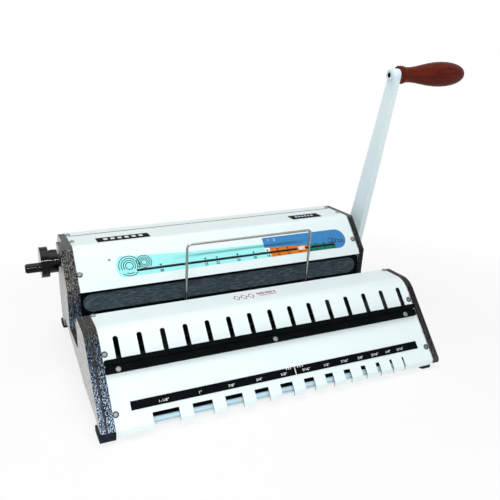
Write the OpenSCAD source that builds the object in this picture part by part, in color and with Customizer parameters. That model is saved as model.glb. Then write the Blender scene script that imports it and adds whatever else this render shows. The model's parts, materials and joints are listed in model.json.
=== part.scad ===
// Desk machine for wire binding: it punches the sheets in the rear housing and
// closes the wire in the front one, both with one side lever.
// Machine coordinates: X along the machine from its middle, Y from the front lip
// to the back, Z up from the table. at_origin() centres the finished machine.

/* [Housing] */
// Clear length between the side plates
inner_l = 386.5; // [386:0.5:400]
// Thickness of each side plate
plate_t = 8.3; // [6:0.1:10]
// Thickness of the outer cover on the left side plate
side_cover_t = 5.5; // [5:0.5:9]
// Depth from the front lip to the rear wall
body_d = 308; // [304:1:330]
// Height of the rear housing above the table
top_h = 144; // [142:1:150]
// Height of the front housing above the table
front_h = 93; // [92:1:96]
// Slope of both front faces
slope_a = 50; // [49:1:51]
// Depth of the flat top of the front housing, measured to its rear edge
front_d = 112; // [110:1:114]
// Height of the lower edge of the front lip
lip_z = 6; // [5:0.5:8]
// Height of the front lip
lip_h = 6; // [4:0.5:8]
// Thickness of the cover sheet
sheet_t = 1.2; // [1:0.1:1.5]
// Bend radius at the top of the front cover
front_r = 25; // [15:1:28]
// Bend radius at the top of the rear housing
top_r = 10; // [6:1:14]
// How far the side plates stand proud of the covers on the slopes
plate_proud = 1; // [0.5:0.25:2]
// How far the side plates lie below the covers on the flat tops
plate_drop = 0.5; // [0:0.1:1]

/* [Wire closer] */
// Number of slots in the front cover
slot_n = 15; // [9:2:15]
// Distance from a side plate to the middle of the end slot
slot_end = 15.45; // [14:0.05:20]
// Width of a slot
slot_w = 5.6; // [4.5:0.1:6.5]
// Distance up the slope of the top end of the slots
slot_top = 96.4; // [94:0.1:97]
// Distance up the slope of the lower edge of the anvil bar
anvil_s = 56.8; // [55:0.2:58]
// Width of the anvil bar
anvil_w = 8.2; // [7.5:0.1:8.2]
// How far the anvil bar stands off the cover
anvil_h = 4; // [3:0.25:5]
// Width of the jaw bar
jaw_w = 5.7; // [5:0.1:6]
// How far the jaw bar stands off the cover
jaw_h = 5; // [4:0.25:6]
// Radius of the cranks and rocker arms that lift the jaw
closer_r = 22.5; // [21:0.25:23]

/* [Thickness gauge] */
// Width of the widest notch
notch_max = 28; // [22:0.5:29]
// Width of the narrowest notch
notch_min = 2; // [1.2:0.1:2.5]
// Length of a notch up the slope
notch_s = 10.8; // [8:0.2:12]

/* [Punch] */
// Number of punch pins
pin_n = 27; // [15:2:27]
// Pitch of the punch pins
pin_pitch = 12.7; // [10:0.1:13]
// Diameter of a punch pin
pin_d = 4; // [3:0.25:5]
// Distance of the row of pins from the front lip
pin_y = 200; // [198:0.5:202]
// Height of the paper throat
throat_h = 4.5; // [4:0.25:5]
// Height of the top face of the die block
die_top = 93; // [92.5:0.25:93.5]

/* [Lever] */
// Length of the lever from the shaft to the grip
lever_l = 269; // [220:1:320]
// Forward lean of the lever at rest
lever_a = 18.2; // [15:0.2:22]
// Swing of the lever from rest to its rear stop
lever_swing = 60; // [50:1:60]
// Thickness of the lever bar
lever_t = 8; // [6:0.5:10]
// Width of the lever at the hub
lever_w0 = 33; // [26:1:36]
// Width of the lever at the grip
lever_w1 = 16; // [14:0.5:20]
// Diameter of the main shaft
shaft_d = 16; // [14:0.5:16]
// Length of the grip
grip_l = 105; // [90:1:120]
// Largest diameter of the grip
grip_d = 32; // [26:1:36]

/* [Size adjuster] */
// Diameter of the knob disc
knob_d = 37; // [30:1:40]
// Thickness of the knob disc
knob_t = 9.5; // [7:0.5:12]
// Diameter of the adjuster spindle
spindle_d = 8; // [6:0.5:8]
// Length of the pointer slot
slot_l = 282; // [240:1:290]
// Middle of the pointer slot along the machine
slot_mid = 19.4; // [14:0.2:20]
// Rest place of the pointer along the machine
pointer_x = 106.4; // [60:0.2:110]

/* [Wire bail] */
// Diameter of the bail wire
bail_d = 3; // [2:0.25:3.5]
// Width of the bail
bail_w = 160; // [120:1:200]
// Middle of the bail along the machine
bail_mid = 1.8; // [0:0.1:4]
// Height of the bail above its pivot
bail_h = 82; // [60:0.5:84]

/* [Hidden] */
$fn = 48;

// Clearances
run = 0.05;
gap = 0.4;
loose = 0.5;

// Side planes
x_in = inner_l / 2;
x_out = x_in + plate_t;
x_cover = x_out + side_cover_t + 0.8;
cover_l = inner_l - 2 * loose;

// Front slope: a frame with its origin at the bend above the lip
lip_top = lip_z + lip_h;
sl = [cos(slope_a), sin(slope_a)];
nl = [-sin(slope_a), cos(slope_a)];
front_corner = [(front_h - lip_top) / tan(slope_a), front_h];
function on_slope(s, n) = [0, lip_top] + s * sl + n * nl;

// Rear slope: its lower edge is the upper lip of the throat
throat_y = 169.4;
throat_z = die_top + throat_h;
rear_corner = [throat_y + (top_h - throat_z) / tan(slope_a), top_h];
seam_y = body_d - 52;
ridge_y = body_d - 33;
rear_drop_z = top_h - 39;
trough_z = 62;
trough_back_y = 177;
base_z = 3.5;

// Main shaft, rocker shaft and adjuster spindle, as Y and Z
shaft_c = [232, 85];
rocker_c = [78, 40];
spindle_c = rear_corner + [1.6, -15.7];
punch_r = 12;
crank_a = lever_swing / 2;

// Screw row that holds both covers
screw_x = x_in - 3.1;
screw_d = 5.6;

// Lever
lever_x0 = x_out + 12.4;
lever_x1 = lever_x0 + lever_t;
lever_end = shaft_c + lever_l * [-sin(lever_a), cos(lever_a)];
grip_x0 = lever_x1 + 0.6;

// Adjuster knob
knob_x0 = -x_cover - 0.6;
knob_x1 = knob_x0 - 3;
knob_x2 = knob_x1 - 10.7;
knob_x3 = knob_x2 - knob_t;
crank_l = 17.5;
crank_d = 11.5;
crank_off = 5.8;

// Rubber shoes round three corners, the flat foot at the fourth, and the height of a
// screw head
shoe_t = 2;
shoe_l = 22;
rear_shoe_l = 13;
shoe_h = 12.5;
foot_l = 14.5;
screw_h = 2;

// Bounding box middle of the whole machine
x_mid = (grip_x0 + grip_l + knob_x3 - crank_l) / 2;
y_mid = (body_d + screw_h - shoe_t) / 2;

// Centres the machine over the origin
module at_origin() translate([-x_mid, -y_mid, 0]) children();

// Unit vector, quarter turn to the left and the list in reverse
function unit(v) = v / norm(v);
function left(v) = [-v[1], v[0]];
function reverse(p) = [for (i = [len(p) - 1:-1:0]) p[i]];

// Open path moved sideways by t, with mitred corners
function shifted(p, t) = [for (i = [0:len(p) - 1])
    let (a = unit(p[max(i, 1)] - p[max(i, 1) - 1]),
         b = unit(p[min(i, len(p) - 2) + 1] - p[min(i, len(p) - 2)]))
    p[i] + t * (left(a) + left(b)) / (1 + left(a) * left(b))];

// One corner p between a and b, rounded with radius r
function corner(a, p, b, r) = r <= 0 ? [p] :
    let (u = unit(a - p), v = unit(b - p), h = acos(u * v) / 2,
         c = p + unit(u + v) * r / sin(h),
         s = p + u * r / tan(h), e = p + v * r / tan(h),
         a0 = atan2(s[1] - c[1], s[0] - c[0]),
         turn = (e[1] - c[1]) * (s[0] - c[0]) - (e[0] - c[0]) * (s[1] - c[1]),
         sweep = (180 - 2 * h) * sign(turn), k = max(3, ceil(r / 2)))
    [for (i = [0:k]) c + r * [cos(a0 + sweep * i / k), sin(a0 + sweep * i / k)]];

// Open path with rounded inner corners, one radius for each point
function round_open(p, r) = [for (i = [0:len(p) - 1])
    each i == 0 || i == len(p) - 1 ? [p[i]] : corner(p[i - 1], p[i], p[i + 1], r[i])];

// Closed outline with rounded corners
function round_closed(p, r) = let (n = len(p)) [for (i = [0:n - 1])
    each corner(p[(i + n - 1) % n], p[i], p[(i + 1) % n], r[i])];

// Bend radius on the other face of a sheet, by the side to which the path turns
function other_r(p, r, t) = [for (i = [0:len(p) - 1])
    i == 0 || i == len(p) - 1 || r[i] == 0 ? 0 :
    let (a = p[i] - p[i - 1], b = p[i + 1] - p[i])
    max(0, r[i] + t * sign(a[0] * b[1] - a[1] * b[0]))];

// Profile of a folded sheet: the path is its outer face, the sheet lies to the right
function folded(p, r, t) = concat(round_open(p, r),
    reverse(round_open(shifted(p, -t), other_r(p, r, t))));

// Profile in Y and Z drawn out along X from x0 to x1
module along_x(x0, x1) translate([x0, 0, 0]) rotate([90, 0, 90])
    linear_extrude(x1 - x0) children();

// Solid rod along X
module rod_x(c, d, x0, x1) translate([x0, c[0], c[1]]) rotate([0, 90, 0])
    cylinder(d = d, h = x1 - x0);

// Child placed on the front slope, with Y up the slope and Z out of it
module slope_frame() translate([0, 0, lip_top]) rotate([slope_a, 0, 0]) children();
// Child placed on the rear slope, measured from its lower edge
module rear_slope_frame() translate([0, throat_y, throat_z]) rotate([slope_a, 0, 0])
    children();

// Faces of the covers as paths of Y and Z
front_path = [[0, lip_z], [0, lip_top], front_corner, [front_d, front_h],
    [front_d, front_h - 22]];
front_radii = [0, 2, front_r, 2, 0];
upper_path = [[throat_y + 12, throat_z], [throat_y, throat_z], rear_corner,
    [seam_y - 0.4, top_h], [seam_y - 0.4, top_h - 8]];
upper_radii = [0, 0, top_r, 0.6, 0];
rear_path = [[seam_y + 0.4, top_h - 8], [seam_y + 0.4, top_h], [ridge_y, top_h],
    [body_d, rear_drop_z], [body_d, base_z + 3]];
rear_radii = [0, 0.6, 5, 8, 0];

// Corner c of a cover moved to where the slope lies a further out and the top b lower
function edge_corner(c, a, b) = c - [(a + b * cos(slope_a)) / sin(slope_a), b];

// Outline of a side plate: proud of the slopes, a little under the flat tops, set back
// at the throat and relieved between the feet
throat_cut = 5;
plate_outline = [
    [-plate_proud, lip_z],
    [-plate_proud, lip_top + plate_proud * tan(slope_a / 2)],
    edge_corner(front_corner, plate_proud, plate_drop),
    [front_d + plate_proud, front_h - plate_drop],
    [front_d + 4, trough_z],
    [trough_back_y, trough_z],
    [throat_y, throat_z] + throat_cut * sl + plate_proud * nl,
    edge_corner(rear_corner, plate_proud, plate_drop),
    [ridge_y, top_h - plate_drop],
    [body_d + plate_proud, rear_drop_z + plate_proud / 2],
    [body_d + plate_proud, lip_z],
    [body_d - 14, lip_z],
    [body_d - 24, 22],
    [body_d - 72, 22],
    [190, 14],
    [26, 14],
    [18, lip_z]];
plate_radii = [3, 2, front_r + plate_proud, 3, 6, 6, 2, 6, 6, 9, 2, 3, 6, 10, 10, 4, 3];

// Outline of the left outer cover: half a millimetre inside the plate, with a deeper
// trough. It stops short of the rear of the plate, and its lower edge rises to the back
cover_in = 0.5;
cover_trough_z = trough_z - 10;
cover_outline = [
    [-plate_proud + cover_in, lip_z + cover_in],
    [-plate_proud + cover_in, lip_top + plate_proud * tan(slope_a / 2)],
    edge_corner(front_corner, plate_proud - cover_in, plate_drop + cover_in),
    [front_d + plate_proud - cover_in, front_h - plate_drop - cover_in],
    [front_d + 4, cover_trough_z],
    [trough_back_y, cover_trough_z],
    [throat_y, throat_z] + throat_cut * sl + (plate_proud - cover_in) * nl,
    edge_corner(rear_corner, plate_proud - cover_in, plate_drop + cover_in),
    [250, top_h - plate_drop - cover_in],
    [208, 104],
    [200, 46],
    [90, 21.5],
    [21, 15.5],
    [16, lip_z + cover_in]];
cover_radii = [2, 2, front_r + 0.5, 3, 6, 6, 2, 6, 4, 12, 6, 20, 3, 2];

// Row of slots, a little off the middle of the cover
row_x = 1.4;
slot_half = x_in - slot_end;
slot_pitch = 2 * slot_half / (slot_n - 1);
function slot_x(k) = row_x - slot_half + k * slot_pitch;

// Inner parts, placed from the side plates; the rails end before the last slots
rail_in = x_in - (slot_end - row_x - slot_w / 2 - 2);
post_x = x_in - 21.5;
bar_half = x_in - 14.5;
link_x = x_in - 32;
arm_t = 6;
frame_x = x_in - 69.5;
rod_x_mid = frame_x - 13;
leg_x = x_in - 52.5;
leg_t = 8;
slack = 0.45;

// Pins of the closer linkage at rest
crank_pin = shaft_c + closer_r * [sin(crank_a), -cos(crank_a)];
rocker_pin = rocker_c + closer_r * [sin(crank_a), -cos(crank_a)];
jaw_pin = rocker_c + closer_r * [-sin(slope_a + crank_a), cos(slope_a + crank_a)];
jaw_pin_s = (jaw_pin - [0, lip_top]) * sl;
jaw_pin_n = (jaw_pin - [0, lip_top]) * nl;
jaw_dip = closer_r * (1 - cos(crank_a));
pin_c = 8;
rocker_shaft_d = 12;

// Pins of the punch cranks at rest
punch_pin = shaft_c - punch_r * [cos(crank_a), sin(crank_a)];
pin_p = 6;
fork_y0 = shaft_c[0] - punch_r - pin_p / 2 - 0.8;
fork_y1 = shaft_c[0] - shaft_d / 2 - 0.6;

// Jaw, slots and tongues up the front slope
jaw_s = anvil_s + anvil_w + gap;
tongue_s = jaw_s + 0.8;
tongue_w = slot_w - 1.4;
slot_foot = jaw_s - 1.1;
plate_s = jaw_s - 1.4;
plate_n = -sheet_t - 0.7;
carriage_t = 3;
rod_n = -14;
rod_d = 8;
lug_s = [jaw_s - 19.4, jaw_s + 32.6];
lug_t = 8;
rod_end = lug_s[1] + lug_t;

// Die, stripper and punch bar
die_y0 = throat_y + 5;
die_y1 = pin_y + 7;
die_bot = die_top - 23.5;
stripper_z = die_top + throat_h;
stripper_t = 2.2;
bar_z = stripper_z + stripper_t + 0.8;
bar_t = 7;
pin_low = die_top - 7.5;

// Notches of the thickness gauge: the widths fall from the widest to the narrowest
notch_k = [1, 0.76, 0.673, 0.546, 0.49, 0.396, 0.308, 0.246, 0.154, 0.112, 0.035, 0];
notch_w = [for (k = notch_k) notch_min + k * (notch_max - notch_min)];
notch_gap = 14.6;
notch_x0 = -154;
function notch_x(i) = notch_x0 + i * notch_gap + sum_to(notch_w, i);
function sum_to(v, i) = i == 0 ? 0 : v[i - 1] + sum_to(v, i - 1);

// Colours
shell_white = [0.88, 0.94, 0.95];
plate_grey = [0.30, 0.31, 0.33];
steel = [0.72, 0.73, 0.75];
black = [0.06, 0.06, 0.07];
red_wood = [0.48, 0.16, 0.08];
brass = [0.78, 0.62, 0.30];

// Ring around an axis along X
module ring_x(c, d_out, d_in, x0, x1) difference() {
    rod_x(c, d_out, x0, x1);
    rod_x(c, d_in, x0 - 1, x1 + 1);
}

// The same thing at both ends of the machine
module both_sides() for (s = [0, 1]) mirror([s, 0, 0]) children();

// Flat bar outline between two round ends, as Y and Z
module bar_outline(a, ra, b, rb) {
    v = b - a;
    u = unit(v);
    h = acos((ra - rb) / norm(v));
    k = [for (s = [-1, 1]) [u[0] * cos(s * h) - u[1] * sin(s * h),
        u[0] * sin(s * h) + u[1] * cos(s * h)]];
    translate(a) circle(ra);
    translate(b) circle(rb);
    polygon([a + ra * k[0], b + rb * k[0], b + rb * k[1], a + ra * k[1]]);
}

// Box on the front slope from corner to corner: X, up the slope and out of it
module slope_box(x0, x1, s0, s1, n0, n1) slope_frame() translate([x0, s0, n0])
    cube([x1 - x0, s1 - s0, n1 - n0]);

// Bar on the front slope with rounded corners
module slope_bar(x0, x1, s0, s1, n0, n1, r) slope_frame() translate([0, 0, n0])
    linear_extrude(n1 - n0)
        polygon(round_closed([[x0, s0], [x1, s0], [x1, s1], [x0, s1]], [r, r, r, r]));

// Flat-headed screw, flush with the sheet, and its countersunk hole
head_t = 0.9;
module cross_recess(z) for (a = [0, 90]) rotate([0, 0, a]) translate([-1.7, -0.35, z])
    cube([3.4, 0.7, 2]);
module flush_screw() {
    difference() {
        translate([0, 0, -head_t]) cylinder(d1 = 3.4, d2 = screw_d - 0.1, h = head_t);
        cross_recess(-0.6);
    }
    translate([0, 0, -sheet_t - 4]) cylinder(d = 3.4, h = sheet_t + 4 - head_t);
}
module flush_hole() {
    translate([0, 0, -head_t]) cylinder(d1 = 3.5, d2 = 2 * screw_d - 3.5, h = 2 * head_t);
    translate([0, 0, -sheet_t - 4]) cylinder(d = 3.5, h = sheet_t + 4);
}

// Pan head screw standing on the sheet, and its hole
module pan_screw() {
    difference() {
        union() {
            cylinder(d = screw_d, h = screw_h - 0.8);
            translate([0, 0, screw_h - 0.8]) cylinder(d1 = screw_d, d2 = screw_d - 1.8, h = 0.8);
        }
        cross_recess(1.2);
    }
    translate([0, 0, -sheet_t - 4]) cylinder(d = 3.4, h = sheet_t + 4);
}
module screw_hole() translate([0, 0, -sheet_t - 4.2]) cylinder(d = 3.5, h = 8);

// Places of the cover screws: flat heads on the front slope, pan heads elsewhere
module at_flush_screws() both_sides()
    for (s = [16.4, 78.5]) slope_frame() translate([screw_x, s, 0]) children();
module at_front_top_screws() both_sides()
    translate([screw_x, front_d - 6, front_h]) children();
module at_upper_screws() both_sides() {
    rear_slope_frame() translate([screw_x, 23.2, 0]) children();
    translate([screw_x, rear_corner[0] + 20, top_h]) children();
}
module at_rear_screws() both_sides() {
    translate([screw_x, seam_y + 5.5, top_h]) children();
    for (z = [22, rear_drop_z - 22]) translate([screw_x, body_d, z])
        rotate([-90, 0, 0]) children();
}

// Holes of the side plates for the shaft, the spindle and the tie rods; a hole that
// nothing leaves through stays blind
tie_at = [[32, 24], [150, 22], [body_d - 16, 62], [body_d - 48, top_h - 22]];
tie_d = 10;
bush_d = 26;
small_bush_d = 14;
blind = plate_t - 2;
module left_side_holes() mirror([1, 0, 0]) {
    rod_x(shaft_c, bush_d, x_in - 1, x_in + blind);
    rod_x(spindle_c, small_bush_d, x_in - 1, x_out + 1);
    for (c = tie_at) rod_x(c, tie_d, x_in - 1, x_in + blind);
}
module right_side_holes() {
    rod_x(shaft_c, bush_d, x_in - 1, x_out + 1);
    rod_x(spindle_c, small_bush_d, x_in - 1, x_in + blind);
    for (c = tie_at) rod_x(c, 6.1, x_in - 1, x_out + 1);
}

// Side plates
module left_side_plate() color(plate_grey) at_origin() difference() {
    along_x(-x_out, -x_in) polygon(round_closed(plate_outline, plate_radii));
    left_side_holes();
}
module right_side_plate() color(plate_grey) at_origin() difference() {
    along_x(x_in, x_out) polygon(round_closed(plate_outline, plate_radii));
    right_side_holes();
}

// Outer cover of the left plate, on three spacers
module left_side_cover() color(plate_grey) at_origin() difference() {
    union() {
        along_x(-x_cover, -x_out - 0.8) polygon(round_closed(cover_outline, cover_radii));
        for (c = [[60, 32], [150, 43.5], [190, 80]]) rod_x(c, 12, -x_out - 1, -x_out);
    }
    rod_x(spindle_c, spindle_d + 3, -x_cover - 1, -x_out);
}

// Bottom sheet: its front edge turns up behind the notches
pan_path = [[body_d - 2.5, base_z], [10, base_z], [10, base_z + 9]];
module base_pan() color(shell_white) at_origin() along_x(-x_in, x_in)
    polygon(folded(pan_path, [0, 1.5, 0], 1.5));

// Strips inside the side plates to which the covers are screwed
rail_t = 5;
module rail(p, r) along_x(rail_in, x_in)
    polygon(folded(shifted(p, -sheet_t), other_r(p, r, sheet_t), rail_t));
module cover_rails() color(steel) at_origin() difference() {
    both_sides() {
        rail([on_slope(8, 0), front_corner, [front_d - 2, front_h]], [0, front_r, 0]);
        rail([[throat_y, throat_z] + 9 * sl, rear_corner, [seam_y - 2, top_h]],
            [0, top_r, 0]);
        rail([[seam_y + 2, top_h], [ridge_y, top_h], [body_d, rear_drop_z],
            [body_d, base_z + 8]], [0, rear_radii[2], rear_radii[3], 0]);
    }
    at_flush_screws() screw_hole();
    at_front_top_screws() screw_hole();
    at_upper_screws() screw_hole();
    at_rear_screws() screw_hole();
}

// Front cover: one folded sheet with the row of slots and the gauge notches
module slot_cutter() {
    translate([-slot_w / 2, slot_foot, -8]) cube([slot_w, slot_top - slot_w / 2 - slot_foot, 10]);
    translate([0, slot_top - slot_w / 2, -8]) cylinder(d = slot_w, h = 10);
}
module front_cover() color(shell_white) at_origin() difference() {
    along_x(-cover_l / 2, cover_l / 2) polygon(folded(front_path, front_radii, sheet_t));
    for (k = [0:slot_n - 1]) slope_frame()
        translate([slot_x(k), 0, 0]) slot_cutter();
    for (i = [0:len(notch_w) - 1]) along_x(notch_x(i), notch_x(i) + notch_w[i])
        polygon([[-3, 0], [3, 0], [3, lip_top - 1], on_slope(notch_s, -3),
            on_slope(notch_s, 3), [-3, lip_top + 1]]);
    at_flush_screws() flush_hole();
    at_front_top_screws() screw_hole();
    at_anvil_screws() translate([0, 0, -anvil_h]) screw_hole();
}

// Upper cover: one folded sheet with the long pointer slot
pointer_s = 19.5;
pointer_slot_w = 2.4;
module upper_cover() color(shell_white) at_origin() difference() {
    along_x(-cover_l / 2, cover_l / 2) polygon(folded(upper_path, upper_radii, sheet_t));
    rear_slope_frame() translate([slot_mid - slot_l / 2, pointer_s - pointer_slot_w / 2, -3])
        cube([slot_l, pointer_slot_w, 6]);
    at_upper_screws() screw_hole();
}

// Rear cover with the opening for the chip tray
tray_half = 140;
module rear_cover() color(shell_white) at_origin() difference() {
    along_x(-cover_l / 2, cover_l / 2) polygon(folded(rear_path, rear_radii, sheet_t));
    translate([-tray_half - 1, body_d - 5, 0]) cube([2 * tray_half + 2, 10, 35]);
    at_rear_screws() screw_hole();
}

// Trough between the two housings
trough_path = [[front_d - sheet_t, front_h - 9], [front_d - sheet_t, trough_z],
    [die_y0 + 0.6, trough_z], [die_y0 + 0.6, die_bot]];
module trough_panel() color(black) at_origin() along_x(-cover_l / 2, cover_l / 2)
    polygon(folded(trough_path, [0, 3, 3, 0], sheet_t));

// Rubber shoes around the corners of the plates, with rounded lower edges, and a flat
// foot under the bottom sheet at the front right
module shoe(x0, x1, y0, y1, r, r0, r1) intersection() {
    along_x(x0, x1) polygon(round_closed([[y0, 0], [y1, 0], [y1, shoe_h], [y0, shoe_h]],
        [r, r, 1, 1]));
    translate([0, y1, 0]) rotate([90, 0, 0]) linear_extrude(y1 - y0)
        polygon(round_closed([[x0, 0], [x1, 0], [x1, shoe_h], [x0, shoe_h]], [r0, r1, 1, 1]));
}
module rubber_feet() color(black) at_origin() {
    difference() {
        union() {
            shoe(-x_cover - shoe_t, -x_in, -shoe_t, shoe_l - shoe_t, 8, 5, 3);
            shoe(-x_out - shoe_t, -x_in, body_d + screw_h - rear_shoe_l, body_d + screw_h,
                6, 5, 3);
            shoe(x_in, x_out + 1, body_d + screw_h - rear_shoe_l, body_d + screw_h, 5, 3, 3);
        }
        both_sides() along_x(x_in, x_out)
            polygon(round_closed(plate_outline, plate_radii));
        along_x(-x_cover, -x_out - 0.8) polygon(round_closed(cover_outline, cover_radii));
        translate([-x_out - 0.8, -plate_proud, lip_z]) cube([0.8, body_d, 20]);
    }
    linear_extrude(base_z) polygon(round_closed([[x_in + 1 - foot_l, 3], [x_in + 1, 3],
        [x_in + 1, shoe_l], [x_in + 1 - foot_l, shoe_l]], [3, 3, 3, 3]));
}

// Cover screws
module flush_screws() color(black) at_origin() at_flush_screws() flush_screw();
module cover_screws() color(black) at_origin() {
    at_front_top_screws() pan_screw();
    at_upper_screws() pan_screw();
    at_rear_screws() pan_screw();
}

// Tie rods between the plates, with button head screws on the right
module tie_rods() color(steel) at_origin() for (c = tie_at) difference() {
    rod_x(c, tie_d, -x_in - blind, x_in);
    rod_x(c, 6.1, x_in - 12, x_in + 1);
}
module tie_screws() color(black) at_origin() for (c = tie_at) {
    rod_x(c, 6, x_in - 11, x_out);
    difference() {
        rod_x(c, 11, x_out, x_out + 3.4);
        rod_x(c, 4.5, x_out + 1.4, x_out + 4);
    }
}

// Die block with its row of holes: a close bore at the top, a wide one below
module die_block() color(steel) at_origin() difference() {
    along_x(-x_in, x_in) polygon([[die_y0, die_bot], [die_y1, die_bot], [die_y1, die_top],
        [die_y0, die_top]]);
    at_pins() {
        translate([0, 0, die_top - 9]) cylinder(d = pin_d + 2 * run, h = 10);
        translate([0, 0, die_bot - 1]) cylinder(d = pin_d + 1.5, h = die_top - 9 - die_bot + 1.1);
    }
    both_sides() translate([post_x, pin_y, die_top - 10]) cylinder(d = 6, h = 11);
}
module at_pins() for (k = [0:pin_n - 1])
    translate([(k - (pin_n - 1) / 2) * pin_pitch, pin_y, 0]) children();

// Long pad on the front face of the die block, with a raised rim
pad_h = 21.4;
module pad_outline(g) union() {
    square([2 * (x_in - 5 - pad_h / 2), pad_h - 2 * g], center = true);
    for (s = [-1, 1]) translate([s * (x_in - 5 - pad_h / 2), 0]) circle(d = pad_h - 2 * g);
}
module front_pad() color([0.2, 0.22, 0.25]) at_origin()
    translate([-1.6, die_y0, die_top - 0.2 - pad_h / 2]) rotate([90, 0, 0]) difference() {
        linear_extrude(3) pad_outline(0);
        translate([0, 0, 2.4]) linear_extrude(2) pad_outline(1);
    }

// Stripper plate over the throat, and the paper stop that carries it
module paper_stop() color(steel) at_origin()
    translate([-rail_in + 1, pin_y + 3.5, die_top]) cube([2 * rail_in - 2, 3.5, throat_h]);
module stripper_plate() color(steel) at_origin() difference() {
    translate([-rail_in + 1, throat_y + 13, stripper_z])
        cube([2 * rail_in - 2, die_y1 - throat_y - 13, stripper_t]);
    at_pins() translate([0, 0, stripper_z - 1]) cylinder(d = pin_d + 2 * run, h = 5);
    both_sides() translate([post_x, pin_y, stripper_z - 1]) cylinder(d = 6, h = 5);
}
module guide_posts() color(steel) at_origin() both_sides()
    translate([post_x, pin_y, die_top - 10]) cylinder(d = 6, h = bar_z + bar_t + 2 - die_top + 10);

// Punch bar: a bar over the pins with one fork behind at each side
module punch_bar() color(steel) at_origin() difference() {
    union() {
        translate([-bar_half, pin_y - 6, bar_z])
            cube([2 * bar_half, fork_y1 - pin_y + 5, bar_t]);
        both_sides() translate([leg_x - leg_t / 2, die_y1 + 4, punch_pin[1] - 10])
            cube([leg_t, fork_y1 - die_y1 - 4, bar_z - punch_pin[1] + 10.5]);
    }
    both_sides() translate([leg_x - leg_t / 2 - 1, fork_y0, punch_pin[1] - pin_p / 2 - slack])
        cube([leg_t + 2, 30, pin_p + 2 * slack]);
    at_pins() {
        translate([0, 0, bar_z - 1]) cylinder(d = pin_d, h = bar_t + 2);
        translate([0, 0, bar_z + bar_t - 2]) cylinder(d = pin_d + 2, h = 3);
    }
    both_sides() translate([post_x, pin_y, bar_z - 1]) cylinder(d = 6 + 2 * run, h = bar_t + 2);
}
module punch_pins() color(steel) at_origin() at_pins() {
    translate([0, 0, pin_low]) cylinder(d = pin_d, h = bar_z + bar_t - 2 - pin_low);
    translate([0, 0, bar_z + bar_t - 2]) cylinder(d = pin_d + 2, h = 1.6);
}

// Fixed anvil bar across the front slope, with three screws
bar_x0 = -x_in + 0.4;
bar_x1 = x_in - 2.6;
module at_anvil_screws() for (s = [-1, 0, 1])
    slope_frame() translate([s * (x_in - 16) - 2.5, anvil_s + 3.2, anvil_h]) children();
module anvil_bar() color(black) at_origin() difference() {
    slope_bar(bar_x0, bar_x1, anvil_s, anvil_s + anvil_w, 0, anvil_h, 1.5);
    at_anvil_screws() screw_hole();
}
module anvil_screws() color(black) at_origin() at_anvil_screws() {
    difference() {
        union() {
            cylinder(d = screw_d, h = 0.9);
            translate([0, 0, 0.9]) cylinder(d1 = screw_d, d2 = screw_d - 1.4, h = 0.6);
        }
        cross_recess(0.8);
    }
    translate([0, 0, -anvil_h - 2.6]) cylinder(d = 3.4, h = anvil_h + 2.7);
}

// Thin plates on the covers, with no lettering of their own
module scale_strip() color(black) at_origin()
    slope_box(-x_in + 19.2, x_in - 15.4, 16.9, 26.1, 0, 0.6);
module name_plates() color(black) at_origin() {
    translate([-x_in + 32.2, rear_corner[0] + 6, top_h]) cube([66.5, 16, 0.8]);
    translate([x_in - 81, rear_corner[0] + 9.6, top_h]) cube([45, 17, 0.8]);
}

// Moving jaw: the bar outside the cover and the carriage inside, joined by tongues
jaw_n = 0.4;
module jaw_bar() color(black) at_origin()
    slope_bar(bar_x0, bar_x1, jaw_s, jaw_s + jaw_w, jaw_n, jaw_n + jaw_h, 1.5);
module jaw_carriage() color(steel) at_origin() difference() {
    union() {
        slope_box(slot_x(0) - tongue_w / 2 - gap, slot_x(slot_n - 1) + tongue_w / 2 + gap,
            plate_s, plate_s + 11, plate_n - carriage_t, plate_n);
        for (k = [0:slot_n - 1]) translate([slot_x(k), 0, 0])
            slope_box(-tongue_w / 2, tongue_w / 2, tongue_s, tongue_s + 4.2, plate_n - 1, jaw_n);
        both_sides() {
            slope_box(rod_x_mid - 8, rod_x_mid + 8, plate_s - 2, plate_s + 10, rod_n - 6, plate_n - 1);
            slope_box(frame_x + 8, frame_x + 13, jaw_pin_s - 9, jaw_pin_s + 9,
                jaw_pin_n - 7, plate_n);
        }
    }
    both_sides() {
        slope_frame() translate([rod_x_mid, 0, rod_n]) rotate([-90, 0, 0])
            cylinder(d = rod_d + 2 * run, h = rod_end);
        slope_box(frame_x + 7, frame_x + 14, jaw_pin_s - pin_c / 2 - slack,
            jaw_pin_s + pin_c / 2 + slack, jaw_pin_n - 8, jaw_pin_n + jaw_dip + pin_c / 2 + 1);
    }
}

// Two uprights that carry the guide rods and the rocker shaft
upright_y = [rocker_c[0] - 38, rocker_c[0] + 22];
module closer_frame() color(plate_grey) at_origin() both_sides() difference() {
    union() {
        along_x(frame_x - 3, frame_x + 3) polygon([[upright_y[0], base_z + 1.5],
            [upright_y[1], base_z + 1.5], [upright_y[1], trough_z - 2],
            on_slope(rod_end, -8), on_slope(lug_s[0] - 2, -8)]);
        for (s = lug_s)
            slope_box(rod_x_mid - 8, frame_x, s, s + lug_t, rod_n - 6, rod_n + 6);
    }
    slope_frame() translate([rod_x_mid, 0, rod_n]) rotate([-90, 0, 0])
        cylinder(d = rod_d, h = rod_end + 1);
    rod_x(rocker_c, rocker_shaft_d + 5, frame_x - 5, frame_x + 5);
}
module guide_rods() color(steel) at_origin() both_sides() slope_frame()
    translate([rod_x_mid, lug_s[0], rod_n]) rotate([-90, 0, 0])
        cylinder(d = rod_d, h = rod_end - lug_s[0]);

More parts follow.
